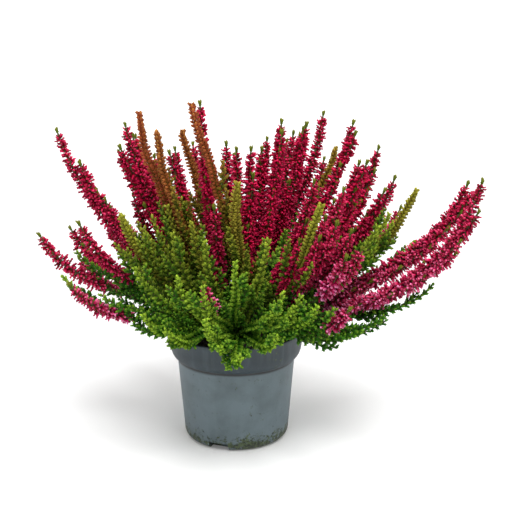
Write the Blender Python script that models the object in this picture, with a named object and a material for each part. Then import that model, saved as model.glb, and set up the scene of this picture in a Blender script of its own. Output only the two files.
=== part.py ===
# Potted heather: a plastic nursery pot, its soil, twelve woody branches that carry leafy shoots,
# and the crimson bud spikes that stand on them. Metres, +Z up, origin at the middle of the pot's base.
import math

import bmesh
import bpy
from mathutils import Vector

# Pot
POT_HEIGHT = 0.1000
RIM_RADIUS = 0.0600
COLLAR_FOOT_Z = 0.0755
COLLAR_FOOT_RADIUS = 0.0545
BODY_TOP_RADIUS = 0.0528
BODY_FOOT_RADIUS = 0.0472
FOOT_CORNER = 0.0068
WALL = 0.0016
FLOOR = 0.0022
POT_SIDES = 36
DRAIN_SLOTS = 3
SLOT_WIDTH = 0.0180
SLOT_HEIGHT = 0.0055
SLOT_DEPTH = 0.0110
SLOT_TURN = math.radians(-109)

# Soil
SOIL_EDGE_Z = 0.0880
SOIL_MIDDLE_Z = 0.0905
SOIL_SIDES = 24
CLEAR = 0.0003
HOLE_RADIUS = 0.0033
HOLE_DEPTH = 0.0170
ROOT_SIDES = 8
ROOT_TOP_Z = 0.0950

# Branches: where each one leaves the soil
INNER_BRANCHES = 4
INNER_RING = 0.0130
OUTER_BRANCHES = 8
OUTER_RING = 0.0310

# Shoots
SHOOT_SIDES = 4
SHOOT_RING = 0.0105
WOOD_RADIUS = 0.0013
WOOD_LENGTH = 0.0160
LEAF_REACH = 0.0068
LEAF_LEAN = 0.0060
SPIKE_SIDES = 8
SPIKE_RING = 0.0115
SPIKE_CORE = 0.0028
BUD_REACH = 0.0080
BUD_LEAN = -0.0012
TIP_REACH = 0.0030
AXIS_STEPS = 48

# Flower spikes: tip of each in millimetres, and how long its flowering part is
SPIKES = {
    "left_high": (-154, 10, 276, 135),
    "left_low": (-165, -30, 193, 75),
    "left_mid": (-149, 22, 187, 60),
    "left_fork": (-129, -40, 205, 70),
    "left_droop": (-134, -66, 159, 62),
    "left_tall": (-96, 20, 280, 120),
    "left_behind": (-93, 62, 264, 110),
    "left_slim": (-74, 42, 249, 90),
    "left_slim_behind": (-58, 74, 251, 90),
    "centre_tall": (-28, -20, 302, 150),
    "centre_a": (-8, 20, 263, 115),
    "centre_b": (0, 60, 252, 100),
    "centre_c": (14, -12, 263, 110),
    "crown_a": (28, 32, 266, 115),
    "crown_b": (40, -2, 285, 130),
    "crown_c": (52, 62, 267, 110),
    "crown_d": (62, 18, 280, 125),
    "crown_e": (80, 72, 284, 120),
    "right_tall": (105, 42, 279, 130),
    "right_mid": (127, 30, 258, 110),
    "right_low": (138, 0, 236, 100),
    "right_front": (104, -30, 254, 110),
    "front_right": (88, -74, 240, 100),
    "front_middle": (66, -48, 242, 90),
    "sweep_high": (198, -16, 234, 150),
    "sweep_low": (200, -62, 244, 165),
    "small_right": (92, -104, 150, 34),
    "small_front": (-22, -92, 167, 34),
    "back_left_a": (-125, 82, 175, 70),
    "back_left_b": (-92, 112, 232, 100),
    "back_left_c": (-150, 62, 148, 55),
    "back_left_d": (-110, 128, 165, 65),
    "back_a": (-45, 128, 248, 110),
    "back_b": (-4, 122, 238, 105),
    "back_c": (48, 136, 250, 110),
    "back_d": (0, 165, 190, 75),
    "back_e": (-60, 160, 188, 70),
    "back_f": (58, 164, 190, 75),
    "back_right_a": (84, 112, 236, 100),
    "back_right_b": (122, 98, 214, 90),
    "back_right_c": (154, 68, 196, 85),
}

# The two long sweeps are heavy and hang below the usual curve: by how much, in millimetres
SAGS = {"sweep_high": 10, "sweep_low": 46}

# Leafy shoots with no flowers: tip of each in millimetres
LEAFY = (
    (-80, -10, 292),
    (-64, -22, 277),
    (-47, 20, 274),
    (-34, -50, 304),
    (90, 20, 254),
    (160, 12, 220),
    (162, 42, 170),
    (2, -62, 242),
    (68, -84, 226),
    (-94, -40, 212),
    (-79, -82, 177),
    (-41, -118, 179),
    (-72, -98, 144),
    (-52, -112, 133),
    (4, -108, 190),
    (29, -98, 204),
    (-22, -122, 172),
    (39, -118, 168),
    (52, -108, 162),
    (69, -100, 150),
    (-18, -130, 150),
    (7, -118, 114),
    (-10, -112, 122),
    (36, -110, 128),
    (166, -40, 152),
    (-84, -58, 122),
    (98, -62, 124),
    (-160, 20, 140),
    (-84, 140, 140),
    (20, 178, 146),
    (105, 142, 160),
    (158, 92, 142),
)


def millimetres(*values):
    return Vector([value / 1000 for value in values])


def material(name, colour, roughness):
    made = bpy.data.materials.new(name)
    made.use_nodes = True
    shader = made.node_tree.nodes["Principled BSDF"]
    shader.inputs["Base Color"].default_value = (*colour, 1)
    shader.inputs["Roughness"].default_value = roughness
    shader.inputs["Metallic"].default_value = 0
    return made


def new_object(name, points, faces, finish):
    mesh = bpy.data.meshes.new(name)
    mesh.from_pydata(points, [], faces)
    mesh.materials.append(finish)
    made = bpy.data.objects.new(name, mesh)
    bpy.context.scene.collection.objects.link(made)
    return made


def turned(name, profile, sides, finish):
    """A closed profile that starts and ends on the Z axis, running anticlockwise, turned once round."""
    points = [(0, 0, profile[0][1])]
    for radius, z in profile[1:-1]:
        for k in range(sides):
            angle = 2 * math.pi * k / sides
            points.append((radius * math.cos(angle), radius * math.sin(angle), z))
    points.append((0, 0, profile[-1][1]))
    last = len(points) - 1
    faces = []
    for k in range(sides):
        right = (k + 1) % sides
        faces.append((0, 1 + right, 1 + k))
        for ring in range(len(profile) - 3):
            low = 1 + ring * sides
            high = low + sides
            faces.append((low + k, low + right, high + right, high + k))
        faces.append((last - sides + k, last - sides + right, last))
    return new_object(name, points, faces, finish)


def apply_boolean(target, operand, operation):
    """Joins to, or cuts from, target every object of the collection operand, and removes those objects."""
    modifier = target.modifiers.new("Joined", "BOOLEAN")
    modifier.operation = operation
    modifier.operand_type = "COLLECTION"
    modifier.collection = operand
    modifier.solver = "MANIFOLD" if operation == "UNION" else "EXACT"
    bpy.context.view_layer.update()
    graph = bpy.context.evaluated_depsgraph_get()
    joined = bpy.data.meshes.new_from_object(target.evaluated_get(graph))
    target.modifiers.clear()
    target.data = joined
    for used in list(operand.objects):
        bpy.data.objects.remove(used)
    bpy.data.collections.remove(operand)


def smooth(item):
    """Rounds the shading of a turned piece, and keeps its edges crisp."""
    item.data.shade_smooth()
    item.data.set_sharp_from_angle(angle=math.radians(32))


def gather(objects, name):
    """Moves the objects into a collection of their own, which a Boolean can name."""
    group = bpy.data.collections.new(name)
    bpy.context.scene.collection.children.link(group)
    for item in objects:
        bpy.context.scene.collection.objects.unlink(item)
        group.objects.link(item)
    return group


def block(name, size, centre, turn, finish):
    """A box whose length runs outwards from the Z axis at the angle turn."""
    mesh = bpy.data.meshes.new(name)
    shape = bmesh.new()
    bmesh.ops.create_cube(shape, size=1)
    for vertex in shape.verts:
        x, y, z = (vertex.co[axis] * size[axis] + centre[axis] for axis in range(3))
        vertex.co = (
            x * math.cos(turn) - y * math.sin(turn),
            x * math.sin(turn) + y * math.cos(turn),
            z,
        )
    shape.to_mesh(mesh)
    shape.free()
    mesh.materials.append(finish)
    made = bpy.data.objects.new(name, mesh)
    bpy.context.scene.collection.objects.link(made)
    return made


def upright_rod(name, radius, low, high, place, sides, finish):
    points = []
    for z in (low, high):
        for k in range(sides):
            angle = 2 * math.pi * (k + 0.5) / sides
            points.append((place[0] + radius * math.cos(angle), place[1] + radius * math.sin(angle), z))
    faces = [tuple(reversed(range(sides))), tuple(range(sides, 2 * sides))]
    faces += [(k, (k + 1) % sides, sides + (k + 1) % sides, sides + k) for k in range(sides)]
    return new_object(name, points, faces, finish)


def foot_corner(radius, corner, steps):
    """Points round the pot's lower corner, from its flat base up to its wall."""
    return [
        (
            radius - corner * (1 - math.sin(math.pi / 2 * k / steps)),
            corner * (1 - math.cos(math.pi / 2 * k / steps)),
        )
        for k in range(steps + 1)
    ]


def make_pot(finish):
    outside = [(0, 0), *foot_corner(BODY_FOOT_RADIUS, FOOT_CORNER, 3)]
    outside += [
        (BODY_TOP_RADIUS, COLLAR_FOOT_Z),
        (COLLAR_FOOT_RADIUS, COLLAR_FOOT_Z + 0.0006),
        (RIM_RADIUS - 0.0012, POT_HEIGHT - 0.0030),
        (RIM_RADIUS, POT_HEIGHT - 0.0022),
        (RIM_RADIUS, POT_HEIGHT),
    ]
    inside = [
        (RIM_RADIUS - WALL, POT_HEIGHT),
        (COLLAR_FOOT_RADIUS - WALL, COLLAR_FOOT_Z + 0.0012),
        (BODY_TOP_RADIUS - WALL, COLLAR_FOOT_Z - 0.0030),
        (BODY_FOOT_RADIUS - WALL, FOOT_CORNER + 0.0010),
        (BODY_FOOT_RADIUS - FOOT_CORNER, FLOOR),
        (0, FLOOR),
    ]
    pot = turned("pot", outside + inside, POT_SIDES, finish)
    slots = []
    for k in range(DRAIN_SLOTS):
        turn = SLOT_TURN + 2 * math.pi * k / DRAIN_SLOTS
        length = SLOT_DEPTH + 0.010
        centre = (BODY_FOOT_RADIUS - SLOT_DEPTH + length / 2, 0, SLOT_HEIGHT / 2 - 0.0010)
        slots.append(block(f"slot_{k}", (length, SLOT_WIDTH, SLOT_HEIGHT + 0.0020), centre, turn, finish))
    apply_boolean(pot, gather(slots, "slots"), "DIFFERENCE")
    smooth(pot)
    return pot


def soil_height(radius, angle, outer):
    """Peat that lies a little higher in the middle, with shallow hummocks."""
    share = radius / outer
    hummock = 0.0007 * math.sin(3 * angle + 1) + 0.0005 * math.sin(5 * angle + 9 * share)
    return SOIL_MIDDLE_Z + (SOIL_EDGE_Z - SOIL_MIDDLE_Z) * share**2 + hummock * share * (1.2 - share)


def make_soil(roots, finish):
    wall_slope = (BODY_TOP_RADIUS - BODY_FOOT_RADIUS) / (COLLAR_FOOT_Z - FOOT_CORNER)
    foot_z = SLOT_HEIGHT + 0.0020
    foot_radius = BODY_FOOT_RADIUS - WALL + wall_slope * (foot_z - FOOT_CORNER) - 3 * CLEAR
    shoulder_z = COLLAR_FOOT_Z - 0.0035
    shoulder_radius = BODY_TOP_RADIUS - WALL - 3 * CLEAR
    edge_radius = COLLAR_FOOT_RADIUS - WALL - 2 * CLEAR
    bottom_radius = BODY_FOOT_RADIUS - SLOT_DEPTH - 2 * CLEAR
    profile = [
        (0, FLOOR + CLEAR),
        (bottom_radius, FLOOR + CLEAR),
        (bottom_radius, foot_z),
        (foot_radius, foot_z),
        (shoulder_radius, shoulder_z),
        (edge_radius, COLLAR_FOOT_Z + 0.0030),
        (edge_radius + 0.0018, SOIL_EDGE_Z),
        (0.66 * edge_radius, SOIL_EDGE_Z),
        (0.36 * edge_radius, SOIL_EDGE_Z),
        (0, SOIL_MIDDLE_Z),
    ]
    soil = turned("soil", profile, SOIL_SIDES, finish)
    for vertex in soil.data.vertices:
        x, y, z = vertex.co
        if abs(z - SOIL_EDGE_Z) < 1e-6:
            vertex.co.z = soil_height(math.hypot(x, y), math.atan2(y, x), edge_radius)
    holes = []
    for name, (x, y) in roots.items():
        low = SOIL_EDGE_Z - HOLE_DEPTH
        holes.append(upright_rod(f"hole_{name}", HOLE_RADIUS, low, POT_HEIGHT, (x, y), ROOT_SIDES, finish))
    apply_boolean(soil, gather(holes, "holes"), "DIFFERENCE")
    smooth(soil)
    return soil


def branch_roots():
    """Where each branch leaves the soil: a ring of four within a ring of eight."""
    roots = {}
    rings = ((INNER_BRANCHES, INNER_RING, 0.5), (OUTER_BRANCHES, OUTER_RING, 0.0))
    for count, radius, shift in rings:
        for k in range(count):
            angle = 2 * math.pi * (k + shift) / count
            name = f"branch_{len(roots) + 1:02d}"
            roots[name] = (radius * math.cos(angle), radius * math.sin(angle))
    return roots


def lean_of(tip):
    """How far a tip leans from upright, seen from the middle of the soil, and the way it leans."""
    flat = math.hypot(tip.x, tip.y)
    lean = math.atan2(flat, tip.z - SOIL_EDGE_Z)
    return lean, Vector((tip.x / flat, tip.y / flat, 0))


def nearest_root(tip, roots):
    """A shoot grows from the branch that stands where its lean points to."""
    lean, outwards = lean_of(tip)
    wanted = outwards * (0.042 * math.sin(lean))
    return min(roots, key=lambda name: (wanted - Vector((*roots[name], 0))).length)


def shoot_path(tip, root, sag=0.0):
    """Points along a shoot: up out of the soil, over the rim where it leans, then rising to its tip."""
    lean, outwards = lean_of(tip)
    up = Vector((0, 0, 1))
    start = Vector((*root, SOIL_EDGE_Z + 0.0020))
    reach = (tip - start).length
    rise = start + up * (0.030 + 0.04 * reach) + outwards * (0.012 * math.sin(lean))
    end_lean = lean * (0.38 + 0.90 * (lean / math.radians(90)) ** 8)
    fall = tip - (up * math.cos(end_lean) + outwards * math.sin(end_lean)) * (0.40 * reach) - up * sag
    path = []
    for k in range(AXIS_STEPS + 1):
        t = k / AXIS_STEPS
        u = 1 - t
        path.append(start * u**3 + rise * (3 * u * u * t) + fall * (3 * u * t * t) + tip * t**3)
    return path


def lengths_along(path):
    total = [0.0]
    for before, after in zip(path, path[1:]):
        total.append(total[-1] + (after - before).length)
    return total


def point_at(path, total, distance):
    """The point, and the direction, at a distance along the path. Past its end it goes straight on."""
    distance = max(distance, 0.0)
    for k in range(len(path) - 1):
        if distance <= total[k + 1] or k == len(path) - 2:
            way = (path[k + 1] - path[k]).normalized()
            return path[k] + way * (distance - total[k]), way


def clad_shoot(name, path, stretch, ring, sides, core, reach, lean, finish, bare=0.0):
    """A slim core whose points stand out in turn, so that each one is a leaf, side sprig or bud.

    core and reach give radii for a share along the stretch, which starts with a bare length of wood;
    lean moves each point forwards."""
    total = lengths_along(path)
    start, end = stretch
    clad = start + bare
    rings = max(3, round((end - clad) / ring))
    stations = [(start, False)] if bare else []
    stations += [(clad + (end - clad) * k / rings, 0 < k < rings) for k in range(rings + 1)]
    across = (path[-1] - path[0]).cross(Vector((0.3, 0.1, 1.0))).normalized()
    points = []
    for k, (along, leafy) in enumerate(stations):
        share = (along - start) / (end - start)
        for j in range(sides):
            out = leafy and (j + k) % 2 == 0
            centre, way = point_at(path, total, along + (lean if out else 0.0))
            side = (across - way * across.dot(way)).normalized()
            other = way.cross(side)
            angle = 2 * math.pi * j / sides
            radius = reach(share) if out else core(share)
            points.append(centre + (side * math.cos(angle) + other * math.sin(angle)) * radius)
    first = len(points)
    points.append(point_at(path, total, start)[0])
    points.append(point_at(path, total, end + 0.0020)[0])
    faces = []
    for j in range(sides):
        right = (j + 1) % sides
        faces.append((first, right, j))
        faces.append((first + 1, len(stations) * sides - sides + j, len(stations) * sides - sides + right))
        for k in range(len(stations) - 1):
            low, low_right = k * sides + j, k * sides + right
            high, high_right = low + sides, low_right + sides
            if (j + k) % 2 == 0:
                faces += [(low, low_right, high), (low_right, high_right, high)]
            else:
                faces += [(low, low_right, high_right), (low, high_right, high)]
    return new_object(name, points, faces, finish)


def wood_core(share):
    return WOOD_RADIUS * (1 - 0.45 * share)


def sprig_reach(share):
    """Side sprigs are short near the wood, longest past the middle, and close in at the tip."""
    return LEAF_REACH * (0.62 + 0.55 * share - 0.62 * share**4)


def spike_core(share):
    return SPIKE_CORE * (1.0 - 0.62 * share)


def bud_reach(share):
    """Buds stand out furthest a third of the way up the spike, and close in to its leafy tip."""
    full = 1 - 0.30 * abs(share - 0.3) / 0.3 if share < 0.3 else 1 - ((share - 0.3) / 0.7) ** 1.6 * 0.58
    return max(BUD_REACH * full, TIP_REACH)


def make_branches(roots, leaf_green, crimson):
    """Each branch is one body: its root, its stems and its leafy shoots. Each spike is a body of its own."""
    parts = {name: [] for name in roots}
    for number, tip in enumerate(LEAFY, 1):
        tip = millimetres(*tip)
        name = nearest_root(tip, roots)
        path = shoot_path(tip, roots[name])
        end = lengths_along(path)[-1]
        parts[name].append(
            clad_shoot(f"leafy_{number}", path, (0, end), SHOOT_RING, SHOOT_SIDES,
                       wood_core, sprig_reach, LEAF_LEAN, leaf_green, WOOD_LENGTH)
        )
    for title, (x, y, z, length) in SPIKES.items():
        tip = millimetres(x, y, z)
        name = nearest_root(tip, roots)
        path = shoot_path(tip, roots[name], SAGS.get(title, 0) / 1000)
        end = lengths_along(path)[-1]
        foot = end - length / 1000
        parts[name].append(
            clad_shoot(f"stem_{title}", path, (0, foot - CLEAR - 0.002), SHOOT_RING, SHOOT_SIDES,
                       lambda share: WOOD_RADIUS, lambda share: LEAF_REACH, LEAF_LEAN * 0.8, leaf_green,
                       WOOD_LENGTH)
        )
        clad_shoot(f"spike_{title}", path, (foot, end - 0.002), SPIKE_RING, SPIKE_SIDES,
                   spike_core, bud_reach, BUD_LEAN, crimson)
    for name, (x, y) in roots.items():
        low = SOIL_EDGE_Z - HOLE_DEPTH + CLEAR
        root = upright_rod(name, HOLE_RADIUS - CLEAR, low, ROOT_TOP_Z, (x, y), ROOT_SIDES, leaf_green)
        apply_boolean(root, gather(parts[name], f"parts_{name}"), "UNION")


def main():
    for item in list(bpy.data.objects):
        bpy.data.objects.remove(item)
    pot_plastic = material("pot plastic", (0.115, 0.140, 0.160), 0.55)
    peat = material("peat", (0.018, 0.012, 0.008), 0.95)
    leaf_green = material("leaf green", (0.090, 0.210, 0.020), 0.60)
    crimson = material("bud crimson", (0.420, 0.008, 0.050), 0.50)
    roots = branch_roots()
    make_pot(pot_plastic)
    make_soil(roots, peat)
    make_branches(roots, leaf_green, crimson)


main()
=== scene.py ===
import math
import random

import bmesh
import bpy
from mathutils import Matrix, Vector, noise


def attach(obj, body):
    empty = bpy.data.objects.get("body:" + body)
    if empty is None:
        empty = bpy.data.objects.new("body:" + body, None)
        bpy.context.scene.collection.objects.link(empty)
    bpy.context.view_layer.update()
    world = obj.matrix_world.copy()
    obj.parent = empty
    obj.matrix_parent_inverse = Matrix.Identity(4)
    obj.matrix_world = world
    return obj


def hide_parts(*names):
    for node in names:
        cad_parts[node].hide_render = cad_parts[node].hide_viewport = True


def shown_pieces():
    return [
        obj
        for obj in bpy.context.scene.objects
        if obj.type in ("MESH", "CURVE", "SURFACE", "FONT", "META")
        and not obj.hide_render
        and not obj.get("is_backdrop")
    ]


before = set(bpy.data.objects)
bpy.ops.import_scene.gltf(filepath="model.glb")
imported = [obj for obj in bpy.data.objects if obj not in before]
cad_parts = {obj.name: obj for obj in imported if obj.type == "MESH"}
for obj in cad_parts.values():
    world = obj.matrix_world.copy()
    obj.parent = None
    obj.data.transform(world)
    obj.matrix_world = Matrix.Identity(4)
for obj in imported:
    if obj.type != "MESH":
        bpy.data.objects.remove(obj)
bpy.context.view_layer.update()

upwards = Vector((0, 0, 1))

# unseeded, noise_vector takes its offset from the clock and differs each run
noise.seed_set(1)


def fromHex(code):
    # an sRGB hex colour as the linear values that a shader takes
    parts = [int(code[k:k + 2], 16) / 255 for k in (1, 3, 5)]
    return tuple(p / 12.92 if p <= 0.04045 else ((p + 0.055) / 1.055) ** 2.4 for p in parts) + (1.0,)


def addNode(tree, kind, feeds=None, **settings):
    # feeds go to the input sockets, by name or number, as a value or as another node's output
    node = tree.nodes.new(kind)
    for name, value in settings.items():
        setattr(node, name, value)
    for key, value in (feeds or {}).items():
        if isinstance(value, bpy.types.NodeSocket):
            tree.links.new(value, node.inputs[key])
        else:
            node.inputs[key].default_value = value
    return node


def firstOf(tree, kind, feeds=None, **settings):
    return addNode(tree, kind, feeds, **settings).outputs[0]


def linkedObject(name, data):
    made = bpy.data.objects.new(name, data)
    bpy.context.scene.collection.objects.link(made)
    return made


def polar(radius, angle, z=0.0):
    return Vector((radius * math.cos(angle), radius * math.sin(angle), z))


def meshFrom(name, points, faces, smooth=True):
    mesh = bpy.data.meshes.new(name)
    mesh.from_pydata([tuple(p) for p in points], [], faces)
    for face in mesh.polygons:
        face.use_smooth = smooth
    mesh.update()
    return mesh


def giveValues(mesh, name, values):
    mesh.attributes.new(name, "FLOAT", "POINT").data.foreach_set("value", values)


def colourRamp(tree, factor, stops):
    ramp = addNode(tree, "ShaderNodeValToRGB", {0: factor})
    while len(ramp.color_ramp.elements) < len(stops):
        ramp.color_ramp.elements.new(0.5)
    for element, (place, code) in zip(ramp.color_ramp.elements, stops):
        element.position = place
        element.color = fromHex(code)
    return ramp.outputs["Color"]


def newMaterial(name):
    made = bpy.data.materials.new(name)
    made.use_nodes = True
    return made, made.node_tree, made.node_tree.nodes["Principled BSDF"]


def pointValue(tree, name):
    return addNode(tree, "ShaderNodeAttribute", attribute_name=name).outputs["Fac"]


def mixColours(tree, factor, first, second, way="MIX"):
    mix = addNode(tree, "ShaderNodeMix", data_type="RGBA", blend_type=way)
    for socket, value in ((mix.inputs[0], factor), (mix.inputs[6], first), (mix.inputs[7], second)):
        if isinstance(value, bpy.types.NodeSocket):
            tree.links.new(value, socket)
        else:
            socket.default_value = value
    return mix.outputs[2]


def mapped(tree, value, fromLow=0.0, fromHigh=1.0, toLow=0.0, toHigh=1.0):
    feeds = {0: value, 1: fromLow, 2: fromHigh, 3: toLow, 4: toHigh}
    return firstOf(tree, "ShaderNodeMapRange", feeds)


def noiseAt(tree, place, scale, detail=2.0, roughness=0.5):
    feeds = {"Vector": place, "Scale": scale, "Detail": detail, "Roughness": roughness}
    return addNode(tree, "ShaderNodeTexNoise", feeds).outputs["Fac"]


def objectPlace(tree):
    return addNode(tree, "ShaderNodeTexCoord").outputs["Object"]


def toneBy(tree, colour, tint, tones):
    # each instance a little lighter or darker than the next
    strength = mapped(tree, tint, toLow=tones[0], toHigh=tones[1])
    return firstOf(tree, "ShaderNodeHueSaturation", {"Value": strength, "Color": colour})


def dress(tree, shader, colour, look, height=None):
    tree.links.new(colour, shader.inputs["Base Color"])
    shader.inputs["Roughness"].default_value = look["roughness"]
    if "gloss" in look:
        shader.inputs["Specular IOR Level"].default_value = look["gloss"]
    if height:
        strength, distance = look["bump"]
        bump = addNode(tree, "ShaderNodeBump", {"Height": height, "Strength": strength, "Distance": distance})
        tree.links.new(bump.outputs[0], shader.inputs["Normal"])


def times(tree, first, second, clamp=False):
    return maths(tree, "MULTIPLY", first, second, clamp)


def maths(tree, operation, first, second=0.0, clamp=False):
    feeds = {0: first, 1: second}
    return firstOf(tree, "ShaderNodeMath", feeds, operation=operation, use_clamp=clamp)


budLook = {
    # from a near-black foot, painted shade where the buds crowd together, to their thin, lighter ends
    "crimson": ((0.0, "#33040b"), (0.35, "#a0032b"), (1.0, "#c4174a")),
    # older buds low on the drooping spikes
    "faded": ((0.0, "#a0032b"), (0.4, "#bb2068"), (1.0, "#e493bf")),
    "fading": 1.5,  # how much one old bud may fade more than the next
    "tones": (0.45, 1.45),
    "roughness": 0.45,
    "gloss": 0.12,
}


def makeBudMaterial():
    # dry, papery sepals of a closed bud: satin, and lighter towards the tip where they are one layer thick
    look = budLook
    made, tree, shader = newMaterial("closed heather sepals")
    along, tint, pale = (pointValue(tree, name) for name in ("along", "tint", "pale"))
    share = times(tree, pale, times(tree, tint, look["fading"]), True)
    # painted shade: each bud's foot, deep among the others, is darkest
    crimson = colourRamp(tree, along, look["crimson"])
    colour = mixColours(tree, share, crimson, colourRamp(tree, along, look["faded"]))
    dress(tree, shader, toneBy(tree, colour, tint, look["tones"]), look)
    return made


leafLook = {
    # from near-black painted shade on leaves low in the plant to this year's lighter tips
    "green": ((0.0, "#071405"), (0.45, "#2e6512"), (0.95, "#9dbd34")),
    # the same where cold nights have reddened the shoot
    "warm": ((0.0, "#071405"), (0.35, "#77761c"), (0.62, "#8c3826"), (0.82, "#8c3826"), (1.0, "#c48a3c")),
    "growthAndShade": (0.55, 0.45),  # up the shoot, and along each leaf: growth and painted shade together
    "tones": (0.8, 1.25),
    "roughness": 0.6,
    "gloss": 0.12,
}


def makeLeafMaterial():
    # tiny waxy scale leaves: satin, dark low down, yellow-green to rusty at the shoot tips
    look = leafLook
    made, tree, shader = newMaterial("waxy scale leaves")
    share, autumn, tint, along = (pointValue(tree, name) for name in ("share", "autumn", "tint", "along"))
    byShoot, byLeaf = look["growthAndShade"]
    # painted shade: leaves low on a shoot and at a leaf's foot take the dark end of the ramp
    ripeAndLit = maths(tree, "ADD", times(tree, share, byShoot), times(tree, along, byLeaf), True)
    green = colourRamp(tree, ripeAndLit, look["green"])
    colour = mixColours(tree, autumn, green, colourRamp(tree, ripeAndLit, look["warm"]))
    dress(tree, shader, toneBy(tree, colour, tint, look["tones"]), look)
    return made


woodLook = {
    "bark": ((0.2, "#2d2016"), (1.0, "#4c421e")),
    "streaks": 900.0,
    "unevenness": 0.5,
    "bump": (0.4, 0.0003),  # strength, and depth in metres
    "roughness": 0.8,
}


def makeWoodMaterial():
    # thin stringy bark, matt, brown where old and olive where young
    look = woodLook
    made, tree, shader = newMaterial("heather wood")
    streaks = noiseAt(tree, objectPlace(tree), look["streaks"])
    uneven = times(tree, streaks, look["unevenness"])
    aged = maths(tree, "ADD", pointValue(tree, "share"), uneven, True)
    dress(tree, shader, colourRamp(tree, aged, look["bark"]), look, streaks)
    return made


potLook = {
    "wall": ((0.3, "#4d5b5f"), (0.62, "#5d6c72")),
    "collar": ((0.3, "#1b282e"), (0.7, "#23323a")),     # painted shade: the collar darker than the wall, as if shaded by the rim and the foliage above it
    "collarShadeEdge": (0.075, 0.0765),
    "dust": "#67757a",
    "dustRange": (0.52, 0.8, 0.0, 0.22),
    "film": ((0.42, "#1b2211"), (0.62, "#47552f")),     # algae
    "filmByHeight": (0.0, 0.019, 0.78, 0.25),
    "filmPatches": 1.1,
    "filmEdge": (0.76, 0.84, 0.0, 0.95),
    "shadowAndDirt": "#15191a",
    "crease": 0.0745,  # height of the crease under the collar
    "creaseWidth": (0.0022, 0.0005),
    "shadowAndDirtRange": (0.5, 1.6, 0.97, 0.0),  # noises: scale, detail, roughness
    "cloud": (38.0, 6.0, 0.6),
    "grain": (420.0, 3.0),
    "drips": (1.0, 4.0),
    "dripStretch": (160.0, 160.0, 9.0),
    "specks": (260.0, 5.0, 0.75),
    "patches": (55.0, 2.0),
    "bump": (0.25, 0.0004),
    "roughness": 0.55,
}


def makePotMaterial():
    # recycled polypropylene: matt blue grey, cloudy with dust and dried drips, green film at its foot; painted shade
    # darkens the collar and the crease under it
    look = potLook
    made, tree, shader = newMaterial("recycled polypropylene")
    place = objectPlace(tree)
    height = addNode(tree, "ShaderNodeSeparateXYZ", {0: place}).outputs["Z"]
    cloud, grain, specks, patches = (noiseAt(tree, place, *look[n]) for n in ("cloud", "grain", "specks", "patches"))
    stretched = firstOf(tree, "ShaderNodeMapping", {"Vector": place, "Scale": look["dripStretch"]})
    drips = noiseAt(tree, stretched, *look["drips"])
    # painted shade: above the crease the pot takes the darker collar colours
    collarShade = mapped(tree, height, *look["collarShadeEdge"])
    wall = colourRamp(tree, cloud, look["wall"])
    base = mixColours(tree, collarShade, wall, colourRamp(tree, cloud, look["collar"]))
    base = mixColours(tree, mapped(tree, drips, *look["dustRange"]), base, fromHex(look["dust"]))
    # the film of algae: thick in the foot's corner, broken into specks higher up
    low = mapped(tree, height, *look["filmByHeight"])
    patchy = times(tree, low, times(tree, patches, look["filmPatches"]))
    film = mapped(tree, maths(tree, "ADD", patchy, specks), *look["filmEdge"])
    colour = mixColours(tree, film, base, colourRamp(tree, grain, look["film"]))
    # painted shadow and dirt: a dark line in the crease under the collar
    away = maths(tree, "ABSOLUTE", maths(tree, "SUBTRACT", height, look["crease"]))
    spread, least = look["creaseWidth"]
    width = maths(tree, "ADD", times(tree, cloud, spread), least)
    shadowedAndDirty = mapped(tree, maths(tree, "DIVIDE", away, width), *look["shadowAndDirtRange"])
    dress(tree, shader, mixColours(tree, shadowedAndDirty, colour, fromHex(look["shadowAndDirt"])), look, grain)
    return made


peatLook = {
    "peat": ((0.3, "#090604"), (0.7, "#21160e")),
    "crumbs": (600.0, 4.0),
    "bump": (0.7, 0.0006),
    "roughness": 0.95,
}


def makePeatMaterial():
    # damp peat: nearly black crumbs with brown fibres
    look = peatLook
    made, tree, shader = newMaterial("damp peat")
    crumbs = noiseAt(tree, objectPlace(tree), *look["crumbs"])
    dress(tree, shader, colourRamp(tree, crumbs, look["peat"]), look, crumbs)
    return made


budMaterial = makeBudMaterial()
leafMaterial = makeLeafMaterial()
woodMaterial = makeWoodMaterial()
potMaterial = makePotMaterial()
peatMaterial = makePeatMaterial()
print("materials made")


plant = {
    "soilEdge": 0.088,
    "innerRoots": (4, 0.013, 0.5),
    "outerRoots": (8, 0.031, 0.0),
    "woodLength": 0.016,  # bare wood at the foot of a shoot
    "rootSpread": 0.042,
    "startDepth": 0.002,
    "rise": (0.03, 0.04, 0.012),  # up from the root, more for a long shoot, outwards for a leaning one
    "endLean": (0.38, 0.9, 8),
    "fall": 0.4,
    "pathSteps": 48,
}

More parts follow.
